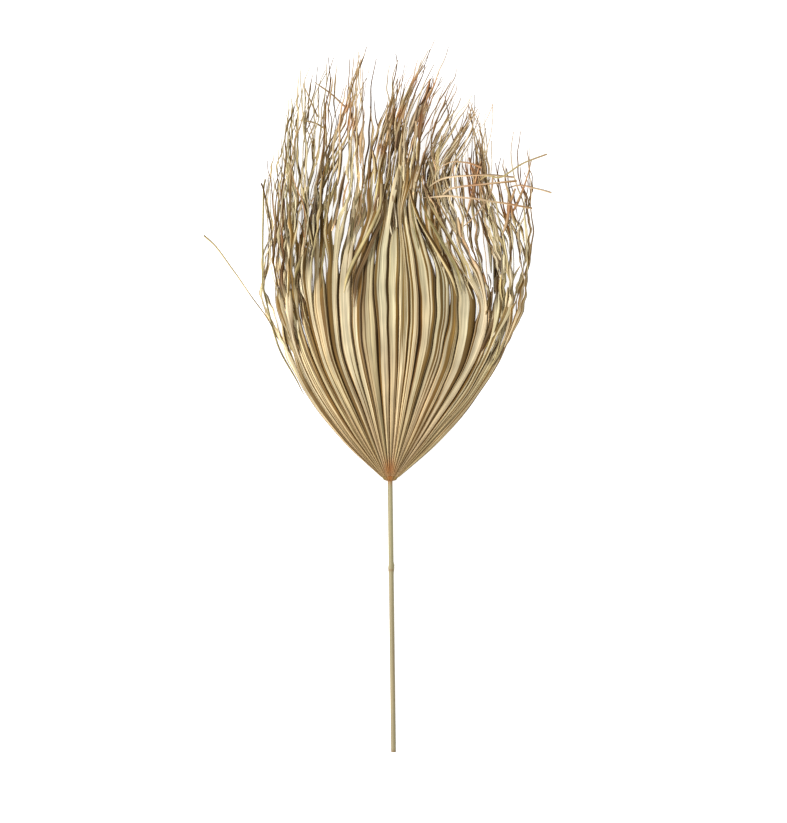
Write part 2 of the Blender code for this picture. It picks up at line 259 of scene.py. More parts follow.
class Ribbon:
    """One pleat of the fan, from the hub to where it parts into two halves, and its path beyond."""

    def __init__(self, index, folds, splits, wanders):
        rng = random.Random(SEED * 1000 + index)
        self.index = index
        self.left, self.right = folds[index], folds[index + 1]
        self.place = (self.left + self.right) / 2
        self.split_left, self.split_right = splits[index], splits[index + 1]
        self.start = max(self.split_left, self.split_right)
        self.fork = self.start + rng.uniform(0.01, 0.07)
        self.wave = rng.uniform(2.0, 4.5) * MM
        self.cycles = rng.uniform(2.5, 4.0)
        self.phase = rng.uniform(0, math.tau)
        self.lean = rng.uniform(-4, 4) * MM
        self.layer = (LAYER_OF[index % LAYERS] + 0.4) * LAYER_STEP
        # Painted light, greatest on the lowest layer, which lies in the shade of the others
        self.layer_painted_light = LOWEST_PAINTED_LIGHT * math.exp(-LAYER_OF[index % LAYERS] / PAINTED_LIGHT_LAYERS)
        self.bob = rng.uniform(0.2, 0.8) * MM
        self.roll = math.radians(rng.uniform(-12, 12))
        self.middle_line = flow_line(self.place)
        self.left_line = flow_line(self.left)
        self.right_line = flow_line(self.right)
        self.wanders = wanders[index], wanders[index + 1]
        self.across_lines = {}
        look = random.Random(TONE_SEED * 10 + index)
        self.sway = Crinkle(look, 0.10, (2.3, 5.9))
        self.swell = Crinkle(look, 0.09, (3.7, 8.9))
        self.tone = Tone(look, frayed=False)
        # Painted light where shade falls on the ribbons of these places
        for place, gain in PAINTED_LIGHT_PLACES:
            self.tone.base *= 1 + gain * bell(self.place, place, PAINTED_LIGHT_REACH)

    def across(self, share):
        """From the ribbon's left flow line to its right one."""
        return on_line(self.right_line, share) - on_line(self.left_line, share)

    def pitch(self, share):
        return self.across(share).length

    def ahead(self, share):
        """Direction of the ribbon's middle line, seen from above."""
        line = self.middle_line
        return (on_line(line, share + AHEAD) - on_line(line, share - AHEAD)).normalized()

    def wander(self, out, share):
        """How far the folds wander sideways at out, as a share of the pitch."""
        left, right = self.wanders
        return mix(left.at(share), right.at(share), (out + 1) / 2) * eased(share, 0.14, 0.3)

    def painted_light_gain(self, share):
        """Painted light on the free ribbon: the low ones, in the shade of the others, are painted
        lighter.
        """
        return 1 + self.layer_painted_light * eased(share, self.start, 0.1)

    def half_width(self, share):
        return self.pitch(share) / 2 * (1 + self.wander(1, share) - self.wander(-1, share))

    def frame(self, share):
        """(centre, right, up) of the ribbon past its splits: waved, rolled and raised to its layer."""
        freed = eased(share, self.start, RAMP)
        turn = math.tau * self.cycles * (share - self.start)
        ahead = self.ahead(share)
        across = self.across(share)
        right = across.normalized().lerp(Vector((ahead.y, -ahead.x)), freed).to_3d().normalized()
        centre = (on_line(self.middle_line, share) + across * self.wander(0, share)).to_3d()
        centre += right * (freed * freed * (self.wave * math.sin(turn + self.phase) + self.lean * share))
        centre.z = sheet_height(self.place, share) * mix(1, FREE_ARCH, freed)
        centre.z += freed * (self.layer + self.bob * math.sin(0.7 * turn + self.phase))
        roll = freed * self.roll * math.sin(0.5 * turn + self.phase)
        tilt = Matrix.Rotation(roll, 3, Vector((ahead.x, ahead.y, 0)))
        return centre, tilt @ right, tilt @ Vector((0, 0, 1))

    def height(self, out, share):
        """Share of the pleat's depth at out, with the ridge swaying and swelling a little."""
        swayed = out + self.sway.at(share) * (1 - out * out) * smooth(share / 0.2)
        return profile(swayed, share) * (1 + self.swell.at(share) * smooth(share / 0.2))

    def point(self, out, share):
        """A point across the ribbon: on the joined fan up to start, and on the free ribbon past it."""
        half = self.half_width(share)
        split = self.split_left if out < 0 else self.split_right
        pull = EDGE_PULL * eased(share, split, 0.05)
        out *= 1 - pull * max(0.0, (abs(out) - SHOULDER) / (1 - SHOULDER))
        if share <= self.start:
            place = mix(self.left, self.right, (out + 1) / 2)
            if out not in self.across_lines:
                self.across_lines[out] = flow_line(place)
            middle = on_line(self.across_lines[out], share)
            point = (middle + self.across(share) * self.wander(out, share)).to_3d()
            depth = min(PLEAT_DEPTH, mix(PLEAT_SLOPE, FLAT_SLOPE, smooth(share / FLAT_FROM)) * half)
            point.z = sheet_height(place, share) + depth * self.height(out, share)
            return point
        centre, right, up = self.frame(share)
        freed = eased(share, self.start, RAMP)
        free_half = min(RIBBON_HALF_WIDTH, RIBBON_WIDTH_KEPT * half)
        width = mix(half, free_half, eased(share, self.start, 0.06))
        rise = min(PLEAT_DEPTH, mix(FLAT_SLOPE, FREE_SLOPE, freed) * width)
        return centre + right * (width * out) + up * (rise * self.height(out, share))


class Half:
    """Half of a ribbon past its fork, side -1 or 1, which parts again into two strips."""

    def __init__(self, ribbon, side):
        rng = random.Random(SEED * 1000 + 100 + 2 * ribbon.index + side)
        self.ribbon, self.side = ribbon, side
        self.start = ROWS[row_near(ribbon.fork)]
        self.fork = self.start + rng.uniform(0.02, 0.09)
        self.spread = rng.uniform(5.5, 8.0) * MM
        self.lift = 2.0 * MM * side
        look = random.Random(TONE_SEED * 1000 + 500 + 2 * ribbon.index + side)
        self.drift = Crinkle(look, 3.5 * MM, (1.3, 3.4))
        self.tone = ribbon.tone

    def spread_at(self, share):
        """Offset of the half from its ribbon's middle, kept inside the ribbon until it is free."""
        freed = eased(share, self.ribbon.start, RAMP)
        return mix(min(self.spread, 0.25 * self.ribbon.pitch(share)), self.spread, freed)

    def frame(self, share):
        centre, right, up = self.ribbon.frame(share)
        opened = eased(share, self.start, 0.2)
        sideways = self.side * self.spread_at(share) + opened * self.drift.at(share)
        return centre + right * sideways + up * self.lift, right, up

    def point(self, out, share):
        """A point across the half, easing from the ribbon's shape into its own."""
        whole = self.ribbon.point((out + self.side) / 2, share)
        opened = eased(share, self.start, 0.12)
        centre, right, up = self.frame(share)
        width = 0.9 * self.spread_at(share)
        own = centre + right * (width * out) + up * (0.5 * width * (1 - out * out))
        return whole.lerp(own, opened)


class Strip:
    """One narrow strip, side -1 or 1 of its half, running free to its tip."""

    def __init__(self, half, side):
        number = 4 * half.ribbon.index + 2 * half.side + side
        rng = random.Random(SEED * 1000 + 200 + number)
        self.half, self.side = half, side
        self.start = ROWS[row_near(half.fork)]
        self.end = rng.uniform(*(SHORT_ENDS if rng.random() < SHORT_STRIPS else LONG_ENDS))
        self.spread = rng.uniform(0.38, 0.47)
        self.width = rng.uniform(0.75, 0.95)
        self.lift = 0.8 * MM * side
        look = random.Random(TONE_SEED * 1000 + number)
        loose = eased(abs(half.ribbon.place), 0.3, 0.4)
        self.drift = Crinkle(look, mix(5.0, 7.5, loose) * MM, (1.1, 2.7))
        self.crinkle = Crinkle(look, mix(2.0, 2.8, loose) * MM, (4.1, 9.7, 19.3, 31.1))
        self.waist = Crinkle(look, 0.25, (5.3, 11.9))
        self.ragged = [Crinkle(look, 0.26, (15.1, 27.7, 43.3)) for _ in range(2)]
        self.bob = Crinkle(look, 1.0 * MM)
        self.twist = look.uniform(0.5, 1.6)
        self.turns = look.uniform(3.0, 8.0)
        self.twist_at = look.uniform(0, math.tau)
        # Strips on their half's shaded side are dim more often: painted shade, with their own darker
        # tones
        shaded_side = 1 if (half.ribbon.index * 7 + (half.side > 0)) % 3 else -1
        dimness = mix(*SHADED_SIDE_DIMNESS, loose) if side == shaded_side else LIT_SIDE_DIMNESS
        self.tone = Tone(look, frayed=True, dimness=dimness)

    def point(self, out, share):
        whole = self.half.point((out + self.side) / 2, share)
        opened = eased(share, self.start, 0.08)
        out *= 1 + self.ragged[out > 0].at(share)
        along = min(1.0, (share - self.start) / (self.end - self.start))
        centre, right, up = self.half.frame(share)
        spread = self.spread * self.half.spread_at(share)
        sideways = self.side * spread + opened * self.crinkle.at(share)
        sideways += eased(share, self.start, 0.25) * self.drift.at(share)
        centre = centre + right * sideways + up * (self.lift + self.bob.at(share))
        turn = opened * self.twist * math.sin(math.tau * self.turns * share + self.twist_at)
        half_width = mix(self.width * spread * WIDEN, TIP_WIDTH / 2, smooth(along) ** 0.7)
        half_width *= 1 + self.waist.at(share)
        narrow_from, narrowed = NARROWING[MIDDLE_TUFT[0] < self.half.ribbon.place < MIDDLE_TUFT[1]]
        half_width *= mix(1, narrowed, eased(share, narrow_from, NARROWING_LENGTH))
        half_width *= 1 - 0.8 * eased(along, 0.93, 0.07)
        lie = right * math.cos(turn) + up * math.sin(turn)
        own = centre + lie * (half_width * out) + up * (CREASE * half_width * (1 - abs(out)))
        return whole.lerp(own, opened)


def linear(*colour):
    """A colour as seen, 0 to 255, as linear light."""
    out = []
    for value in colour:
        value /= 255
        out.append(value / 12.92 if value <= 0.04045 else ((value + 0.055) / 1.055) ** 2.4)
    return Vector(out)


# Colours, as they look in daylight
CREAM = linear(232, 218, 190)
KHAKI = linear(184, 165, 118)
OLIVE = linear(150, 136, 86)
TAN = linear(210, 174, 134)
PALE_TAN = linear(226, 200, 166)
BROWN = linear(134, 92, 52)
DARK = linear(78, 50, 18)
# UMBER is the colour of some strays, two of them laid as painted shadow
UMBER = linear(104, 74, 38)
# SHADE is painted shade in the folds and on the shaded edges of strips, and the folds' own brown too
SHADE = linear(82, 52, 8)
RUST = linear(190, 108, 48)
HUB = linear(172, 104, 46)
STEM_GREEN = linear(167, 155, 120)
STEM_TAN = linear(160, 147, 115)
# Colours of dim strips: their own darker tones, standing partly for painted shade among the strips
DIM_COLOURS = (OLIVE, KHAKI, TAN, TAN, BROWN, DARK)

# Shares of red, green and blue kept in warm and cool patches, in dark lines, by the hub, and at edges as
# warm painted shade
WARM_PATCH = (1.04, 0.98, 0.92)
COOL_PATCH = (0.93, 0.98, 0.92)
DARK_LINE = (0.30, 0.20, 0.07)
HUB_TONE = (0.78, 0.68, 0.56)
EDGE_PAINTED_SHADE = (1.0, 0.9, 0.72)

# The set is lit brighter than daylight, so only this share of all colours is kept.
EXPOSURE_SHARE = 0.66

# Painted light: frayed strips lie in each other's shade, so their colour is painted lighter, the lowest
# layers most of all.
FRAYED_PAINTED_LIGHT = 1.08
LOWEST_PAINTED_LIGHT = 0.5
PAINTED_LIGHT_LAYERS = 1.5

# Painted light: places where the ribbons are painted paler against the shade that falls there, each with
# how much, and how far that reaches
PAINTED_LIGHT_PLACES = ((0.17, 0.16), (-0.72, 0.2))
PAINTED_LIGHT_REACH = 0.13

# How likely a strip is dim, its darker colour partly its own tone and partly painted shade: on its
# half's shaded side in the middle and at the sides of the fan, on the lit side, and apart from the fan
SHADED_SIDE_DIMNESS = (0.2, 0.35)
LIT_SIDE_DIMNESS = 0.08
LOOSE_DIMNESS = 0.35

# Least width of the dark line along a fold, which is painted shade and also the fold's own brown, half
# width at which it is fully dark, and how far out the colours of halves and strips are taken, for less
# painted shade at their edges
FINEST_LINE = 1.0 * MM
FULL_FOLD = 2 * MM
HALF_EDGE = 0.8
STRIP_EDGE = 0.85

# Browning: where it starts along the fan and along a strip, and how strong it is along a strip
FAN_BROWNS_FROM = 0.66
STRIP_BROWNS_FROM = 0.72
STRIP_BROWNING = 0.75

# The colour of the top of the fan: how strong it is, where it starts, and over what length
TOP_TINT = 0.35
TOP_FROM = 0.68
TOP_LENGTH = 0.15

# How strong the rust and the orange of the hub are, and how far the hub's tone reaches
RUSTINESS = 0.6
HUB_STRENGTH = 0.8
HUB_TONE_TO = 0.45

# Half width and half length of the orange spot at the hub
HUB_SPOT = (9 * MM, 14 * MM)

# The tips are green left of the first distance from the middle, and turn tan over the second.
GREEN_SIDE = (-125 * MM, 75 * MM)

# Rust-coloured patches: millimetres right of and beyond the hub, and radius
RUST_SPOTS = (
    (118, 412, 16), (118, 440, 14), (171, 384, 14), (190, 416, 9), (-58, 504, 12), (-62, 526, 10),
    (12, 520, 10), (36, 566, 10), (52, 510, 12), (58, 538, 10), (60, 560, 9), (-12, 470, 9),
)


def blend(colour, other, share):
    return colour.lerp(other, min(1.0, max(0.0, share)))


def toned(colour, kept):
    """A colour with only these shares of its red, green and blue kept."""
    return Vector(value * share for value, share in zip(colour, kept))


def rust_at(point):
    """How rusty the leaf is at a point, from 0 to 1."""
    x, y = point.x / MM, point.y / MM
    return max(bell(math.hypot(x - at_x, y - at_y), 0, radius) for at_x, at_y, radius in RUST_SPOTS)


class Tone:
    """Colour of a strip or ribbon: straw tone, folds of painted shade and brown, painted highlights,
    browning.
    """

    def __init__(self, rng, frayed, dimness=0.0):
        evenness = 0.0 if frayed else 0.28
        pale = CREAM.lerp(KHAKI, rng.uniform(evenness, 1 - evenness))
        dim = rng.random() < dimness
        self.base = rng.choice(DIM_COLOURS) if dim else pale
        # Frayed strips get painted light against the shade they lie in
        self.base = self.base * rng.uniform(0.85, 1.12) * (FRAYED_PAINTED_LIGHT if frayed else 1.0)
        self.tip = TAN.lerp(DARK, rng.uniform(0.0, 0.85)) * rng.uniform(0.85, 1.1)
        self.browning = rng.uniform(0.0, 0.4)
        self.blotch = 0.24 if frayed else 0.06
        self.wash = Crinkle(rng, 1.0, (8.1, 11.7, 23.3))
        # Strength of the painted shade at each edge; a frayed strip keeps little on one edge, its lit
        # side, which gets a painted highlight
        self.fold = [rng.uniform(0.5, 1.0) for _ in range(2)]
        if frayed:
            self.fold[rng.randrange(2)] = rng.uniform(0.0, 0.3)
        self.painted_edge_highlight = rng.uniform(0.2, 0.7) if frayed else 0.0
        self.fold_from = [rng.uniform(0.6, 0.88) for _ in range(2)]

    def at(self, point, out, share, along=0.0, half=8 * MM):
        """Colour at out across a half width half; along is the way to the strip's own tip."""
        colour = self.base * (1 + self.blotch * self.wash.at(share))
        side = out > 0
        # fold is the painted shade along the edge, which in the fan's folds is also their own brown
        reach = max(1 - self.fold_from[side], FINEST_LINE / half)
        fold = self.fold[side] * min(1.0, 1.5 * smooth((abs(out) - 1 + reach) / reach))
        warm = eased(point.x, *GREEN_SIDE)
        tip = OLIVE.lerp(self.tip, mix(0.35, 1, warm))
        fan_browning = self.browning * eased(share, FAN_BROWNS_FROM, 1 - FAN_BROWNS_FROM)
        strip_browning = STRIP_BROWNING * eased(along, STRIP_BROWNS_FROM, 1 - STRIP_BROWNS_FROM)
        colour = blend(blend(colour, tip, fan_browning), tip, strip_browning)
        top = KHAKI.lerp(TAN, warm)
        colour = blend(colour, top, TOP_TINT * eased(share, TOP_FROM, TOP_LENGTH))
        colour = blend(colour, RUST, RUSTINESS * rust_at(point))
        fold *= mix(1, 0.55, eased(share, 0.6, 0.3)) * smooth(half / FULL_FOLD)
        # Painted highlight of cream on the lit edge of a frayed strip, then painted shade at the folds
        # and edges
        painted_highlight = abs(out) * (1 - self.fold[side]) * self.painted_edge_highlight
        colour = blend(colour, CREAM, painted_highlight)
        colour = blend(colour, SHADE, fold)
        # Painted shade: warmer and darker towards the edges, like bounced light deep in a fold
        colour = toned(colour, Vector(EDGE_PAINTED_SHADE).lerp(Vector((1, 1, 1)), 1 - abs(out) ** 3))
        colour = colour.lerp(toned(colour, HUB_TONE), smooth(1 - share / HUB_TONE_TO))
        half_width, half_length = HUB_SPOT
        hub = bell(point.x, 0, half_width) * bell(point.y, half_length, half_length)
        return blend(colour, HUB, HUB_STRENGTH * hub) * EXPOSURE_SHARE


def in_scene(name, data):
    """A new object with this mesh, light or camera, in the scene."""
    item = bpy.data.objects.new(name, data)
    bpy.context.scene.collection.objects.link(item)
    return item


class Sheet:
    """A mesh in the making: rows of points, each with its colour and its place in the fibres."""

    def __init__(self):
        self.points, self.faces, self.colours, self.fibres = [], [], [], []

    def add_point(self, point, colour, across, along, mark=0.0):
        point.z = max(0.0, point.z)
        self.points.append(point)
        self.colours.append(colour)
        self.fibres.append((across, along, mark))
        return len(self.points) - 1

    def join(self, before, after):
        """Faces between two rows of point numbers."""
        for k in range(len(before) - 1):
            self.faces.append((before[k], before[k + 1], after[k + 1], after[k]))

    def make(self, name, material, replaced, thickness=SHEET_THICKNESS, crisp=True):
        mesh = bpy.data.meshes.new(name)
        mesh.from_pydata([point + HUB_AT for point in self.points], [], self.faces)
        tint = mesh.color_attributes.new("tint", "FLOAT_COLOR", "POINT")
        tint.data.foreach_set("color", [value for colour in self.colours for value in (*colour, 1.0)])
        fibre = mesh.attributes.new("fibre", "FLOAT_VECTOR", "POINT")
        fibre.data.foreach_set("vector", [value for fibre in self.fibres for value in fibre])
        mesh.polygons.foreach_set("use_smooth", [not crisp] * len(mesh.polygons))
        mesh.materials.append(material)
        piece = in_scene(name, mesh)
        if thickness:
            shell = piece.modifiers.new("thickness", "SOLIDIFY")
            shell.thickness = thickness
            shell.offset = 1.0
        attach(piece, "root")
        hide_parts(replaced)
        return piece


def make_blade(ribbons, material):
    """The pleated fan and the strips that it parts into, as one sheet."""
    sheet = Sheet()
    outs = places_across()
    fold_points = {}
    for ribbon in ribbons:
        joined_left, joined_right = row_near(ribbon.split_left), row_near(ribbon.split_right)
        row = []
        for number in range(row_near(ribbon.fork) + 1):
            before, row = row, []
            share = ROWS[number]
            for out in outs:
                fold = None
                if out == -1 and number <= joined_left:
                    fold = (ribbon.index, number)
                if out == 1 and number <= joined_right:
                    fold = (ribbon.index + 1, number)
                if fold in fold_points:
                    row.append(fold_points[fold])
                    continue
                point = ribbon.point(out, share)
                colour = ribbon.tone.at(point, out, share, half=ribbon.pitch(share) / 2)
                # Painted light on low free ribbons, against the shade of the others
                colour *= ribbon.painted_light_gain(share)
                across = (2 * ribbon.index + out) * FIBRE_WIDTH
                row.append(sheet.add_point(point, colour, across, share * FLOW_LENGTH))
                if fold:
                    fold_points[fold] = row[-1]
            sheet.join(before, row)
        for side in (-1, 1):
            add_half(sheet, Half(ribbon, side), *parted(row, outs, side))
    return sheet.make("blade_sheet", material, "blade")


def parted(row, outs, side):
    """The left or right part of a row of points, and where each is across that part, from -1 to 1."""
    middle = len(row) // 2
    part = slice(0, middle + 1) if side < 0 else slice(middle, None)
    return row[part], [2 * out - side for out in outs[part]]


def add_half(sheet, half, row, outs):
    """Half a ribbon and its two strips, from the ribbon's last row of points."""

    def look(point, out, share):
        ribbon_out = (out + half.side) / 2
        whole = half.tone.at(point, ribbon_out, share)
        own = half.tone.at(point, HALF_EDGE * out, share)
        return whole.lerp(own, eased(share, half.start, 0.1)), ribbon_out

    row = add_rows(sheet, half, half, half.fork, row, outs, look)
    for side in (-1, 1):
        add_strip(sheet, Strip(half, side), *parted(row, outs, side))


def add_strip(sheet, strip, row, outs):
    """One strip, from its half's last row of points to the tip."""
    half = strip.half

    def look(point, out, share):
        half_out = (out + strip.side) / 2
        along = (share - strip.start) / (strip.end - strip.start)
        whole = half.tone.at(point, HALF_EDGE * half_out, share)
        own = strip.tone.at(point, STRIP_EDGE * out, share, along)
        return whole.lerp(own, eased(share, strip.start, 0.09)), (half_out + half.side) / 2

    add_rows(sheet, strip, half, strip.end, row, outs, look)


def add_rows(sheet, part, half, last, row, outs, look):
    """Rows of a half or strip from row on, up to last; look gives a colour and place in the ribbon."""
    for number in range(row_near(part.start) + 1, row_near(last) + 1):
        before, row = row, []
        share = ROWS[number]
        for out in outs:
            point = part.point(out, share)
            colour, ribbon_out = look(point, out, share)
            # Painted light on low free ribbons, against the shade of the others
            colour *= half.ribbon.painted_light_gain(share)
            across = (2 * half.ribbon.index + ribbon_out) * FIBRE_WIDTH
            row.append(sheet.add_point(point, colour, across, share * FLOW_LENGTH))
        sheet.join(before, row)
    return row


# Strips that leave the flow, and dark strips laid as painted shadow: colour, width in millimetres, and
# points in millimetres from the hub
STRAYS = (
    (PALE_TAN, 2.4, ((43, 400, 34), (79, 401, 60), (115, 398, 62), (158, 391, 61), (201, 383, 60))),
    (PALE_TAN, 2.0, ((50, 412, 34), (79, 427, 58), (129, 431, 61), (175, 427, 60))),
    (PALE_TAN, 2.4, ((66, 392, 34), (80, 407, 57), (100, 414, 60), (136, 418, 62), (179, 423, 61))),
    (TAN, 1.8, ((57, 430, 30), (82, 448, 58), (107, 448, 61), (129, 440, 60))),
    (OLIVE, 1.8, ((120, 418, 44), (136, 430, 58), (158, 428, 61), (189, 447, 60), (222, 460, 58))),
    (PALE_TAN, 1.8, ((160, 412, 40), (183, 417, 54), (208, 411, 58), (228, 405, 58))),
    (TAN, 1.6, ((96, 352, 40), (118, 372, 54), (140, 402, 58), (146, 430, 58))),
    (BROWN, 1.6, ((150, 360, 40), (132, 386, 52), (116, 408, 57), (108, 436, 58))),
    (KHAKI, 1.3, ((-160, 200, 2), (-175, 228, 4), (-201, 264, 6), (-226, 299, 6), (-248, 331, 6),
        (-268, 351, 4))),
    (OLIVE, 2.4, ((-119, 113, 1), (-132, 135, 2), (-158, 185, 2), (-172, 228, 3), (-182, 271, 4),
        (-183, 314, 6), (-183, 400, 8), (-179, 431, 8))),
    (OLIVE, 1.8, ((-150, 232, 4), (-164, 290, 8), (-170, 350, 14), (-180, 410, 20), (-184, 424, 20))),
    (BROWN, 1.8, ((-110, 569, 30), (-86, 550, 34), (-64, 531, 36))),
    (BROWN, 1.6, ((-133, 513, 26), (-110, 509, 30), (-93, 500, 32))),
    (TAN, 1.6, ((-126, 569, 22), (-115, 546, 26), (-103, 517, 30))),
    # Painted shadow: a dark strip where the side of a ribbon lies in shade
    (UMBER, 9.0, ((124, 168, 9), (135, 192, 11), (146, 216, 13), (153, 240, 15), (158, 264, 17))),
    (UMBER, 7.0, ((-128, 180, 8), (-138, 204, 10), (-146, 232, 13), (-149, 264, 16))),
    # Painted shadow: a dark strip beside and below the wide khaki strip that follows, where its shade
    # falls
    (UMBER, 9.0, ((-52, 246, 30), (-48, 286, 32), (-30, 328, 36), (-12, 370, 36), (-7, 398, 34))),
    (KHAKI, 7.5, ((-66, 266, 32), (-60, 290, 38), (-40, 330, 42), (-19, 372, 46), (-14, 392, 48),
        (-12, 420, 46))),
    (KHAKI, 6.5, ((95, 262, 30), (86, 292, 40), (62, 334, 48), (38, 378, 52), (28, 412, 48))),
    (OLIVE, 6.0, ((103, 268, 30), (94, 300, 40), (72, 340, 48), (48, 384, 52), (36, 422, 48))),
    (KHAKI, 6.5, ((112, 276, 28), (104, 306, 38), (82, 346, 46), (58, 388, 50), (48, 418, 46))),
    (CREAM, 5.0, ((122, 286, 26), (114, 316, 36), (94, 352, 44), (70, 392, 48), (62, 424, 44))),
    (TAN, 5.0, ((158, 346, 44), (166, 368, 50), (170, 390, 54), (178, 412, 54))),
    (KHAKI, 4.5, ((182, 352, 44), (174, 374, 50), (170, 396, 54), (163, 418, 54))),
    (TAN, 4.0, ((170, 372, 46), (182, 396, 52), (191, 420, 55), (200, 452, 54))),
    (KHAKI, 5.0, ((120, 356, 44), (117, 390, 52), (120, 424, 55), (112, 456, 54))),
    (TAN, 4.5, ((108, 370, 44), (116, 400, 52), (122, 428, 56), (130, 450, 54))),
)

# Strips from under the sheet, and fine threads. Drawn for each: how long an under strip is or where a
# thread ends, the layers that it rises, and its width
UNDER_STRIPS = 44
THREADS = 50
UNDER_REACH = 0.97
UNDER_POINTS = 9
UNDER_DRAWS = ((0.1, 0.26), (0.2, 2.0), (3.0, 6.5))
THREAD_DRAWS = ((0.72, 1.0), (0.5, 6.5), (0.8, 1.5))

# Slivers, with the tuft that has fewer of them, and shreds
SLIVER_POINTS = 10
SLIVER_TUFT = (-0.28, 0.4)
SHREDS = 150
SHRED_POINTS = 5

# Steps of this share spread numbers evenly, with no pattern.
GOLDEN_STEP = 0.618034

# Hastula: its round end and the corners under the fan, its height over the hub, the swelling on it, its
# mesh, and its own fibres
HASTULA_ROUND = 3.5 * MM
HASTULA_CORNER = (13.5 * MM, 4 * MM)
HASTULA_LEVEL = -0.2 * MM
HASTULA_SWELL = 0.9 * MM
SWELL_Y = 2 * MM
SWELL_REACH = (5 * MM, 4 * MM)
HASTULA_ROWS = 8
HASTULA_COLUMNS = 24
HASTULA_FIBRES = 60 * MM
HASTULA_MARK = 90.0

# Mesh of the stem, and the swellings, dark ring and bud of its knuckle: how much, how far beyond
# the knuckle's middle, and their reach in millimetres. The bud is on the right side.
PETIOLE_SIDES = 28
PETIOLE_STEP = 2.5 * MM
KNUCKLE_SWELLS = ((0.26, 0, 3.6), (0.06, -6, 2.2))
KNUCKLE_RING = (0.55, -2.5, 1.6)
KNUCKLE_BUD = (0.3, 5, 2.4)
TONGUE_TAPER = 0.45


class Loose:
    """A strip that isn't part of the sheet: it follows a path of its own, with its own crinkle."""

    def __init__(self, points, width, rng, tip=TIP_WIDTH, sway=1.0 * MM, shred=False):
        self.points, self.width, self.tip, self.shred = points, width, tip, shred
        self.length = sum((b - a).length for a, b in zip(points, points[1:]))
        self.crinkle = Crinkle(rng, sway, (2.1 * self.length / 0.3, 5.3 * self.length / 0.3))
        self.twist = rng.uniform(-1.1, 1.1)
        self.twist_at = rng.uniform(0, math.tau)
        self.tone = Tone(rng, frayed=True, dimness=LOOSE_DIMNESS)
        self.mark = rng.uniform(1, 50)

    def add_to(self, sheet):
        line = self.points
        count = max(6, round(self.length / (5 * MM)))
        row = []
        for number in range(count + 1):
            share = number / count
            before, row = row, []
            ahead = on_line(line, min(1.0, share + AHEAD)) - on_line(line, max(0.0, share - AHEAD))
            right = Vector((ahead.y, -ahead.x, 0)).normalized()
            up = right.cross(ahead).normalized()
            centre = on_line(line, share) + right * self.crinkle.at(share)
            turn = self.twist * math.sin(math.tau * self.length / 0.25 * share + self.twist_at)
            lie = right * math.cos(turn) + up * math.sin(turn)
            half_width = mix(self.width, self.tip, share ** 1.6) / 2 * mix(0.1, 1, smooth(share / 0.25))
            if self.shred:
                half_width = 0.5 * self.width * math.sin(math.pi * mix(0.04, 0.96, share)) ** 0.7
            for out in STRIP_PLACES:
                point = centre + lie * (half_width * out) + up * (CREASE * half_width * (1 - abs(out)))
                colour = self.tone.at(point, STRIP_EDGE * out, point.length / FLOW_LENGTH, share)
                across, along = out * half_width, share * self.length
                row.append(sheet.add_point(point, colour, across, along, self.mark))
            sheet.join(before, row)


def make_loose_strips(material):
    """Strips that leave the flow, dark strips of painted shadow, strips from under the sheet, and fine
    threads.
    """
    sheet = Sheet()
    for number, (colour, width, points) in enumerate(STRAYS):
        rng = random.Random(TONE_SEED * 77 + number)
        stray = Loose([Vector(point) * MM for point in points], width * MM, rng, sway=0.7 * MM)
        stray.tone.base = colour
        stray.add_to(sheet)
    for number in range(UNDER_STRIPS + THREADS):
        rng = random.Random(TONE_SEED * 777 + number)
        fine = number >= UNDER_STRIPS
        ends, layers, widths = THREAD_DRAWS if fine else UNDER_DRAWS
        place = mix(-UNDER_REACH, UNDER_REACH, (number * GOLDEN_STEP) % 1)
        line = flow_line(place)
        first = split_trend(place) + rng.uniform(-0.08, 0.05)
        last = rng.uniform(*ends) + (0 if fine else first)
        level = rng.uniform(*layers) * LAYER_STEP
        drift = Crinkle(rng, 7.0 * MM, (0.9, 2.3))
        points = []
        for k in range(UNDER_POINTS):
            share = mix(first, last, k / (UNDER_POINTS - 1))
            freed = eased(share, first, 0.2)
            point = on_line(line, share).to_3d()
            point.x += freed * drift.at(share)
            low = sheet_height(place, share)
            point.z = mix(low - 1.0 * MM, FREE_ARCH * low + level, freed)
            points.append(point)
        loose = Loose(points, rng.uniform(*widths) * MM, rng, tip=0.7 * MM, sway=1.8 * MM)
        if not fine:
            # Under strips are darkened by a random share towards DARK, partly painted shade where they
            # lie low among the others
            loose.tone.base = KHAKI.lerp(DARK, rng.uniform(0.0, 0.45))
        loose.add_to(sheet)
    return sheet.make("blade_loose_strips", material, "blade")


def make_slivers(ribbons, material):
    """Finer strands that part from the strips and run beside them to the tips."""
    sheet = Sheet()
    for number in range(4 * len(ribbons)):
        ribbon = ribbons[number // 4]
        half = Half(ribbon, 1 if number & 2 else -1)
        strip = Strip(half, 1 if number & 1 else -1)
        rng = random.Random(TONE_SEED * 555 + number)
        middle = SLIVER_TUFT[0] < ribbon.place < SLIVER_TUFT[1]
        right = ribbon.place > SLIVER_TUFT[1]
        count = 1 + right + (rng.random() < 0.3) - (middle and rng.random() < 0.6)
        for _ in range(count):
            first = max(strip.start + 0.04, rng.uniform(0.6, 0.8))
            last = min(LAST_ROW, max(first + 0.15, rng.uniform(0.88, 1.06)))
            away = rng.choice((-1, 1)) * rng.uniform(2.5, 10.0) * MM
            drift = Crinkle(rng, 5.5 * MM, (1.9, 4.7))
            points = []
            for k in range(SLIVER_POINTS):
                share = mix(first, last, k / (SLIVER_POINTS - 1))
                freed = eased(share, first, 0.2)
                point = strip.point(0.0, share)
                point.x += freed * (away + drift.at(share))
                points.append(point)
            sliver = Loose(points, rng.uniform(1.7, 2.9) * MM, rng, tip=0.8 * MM)
            sliver.add_to(sheet)
    return sheet.make("blade_slivers", material, "blade")


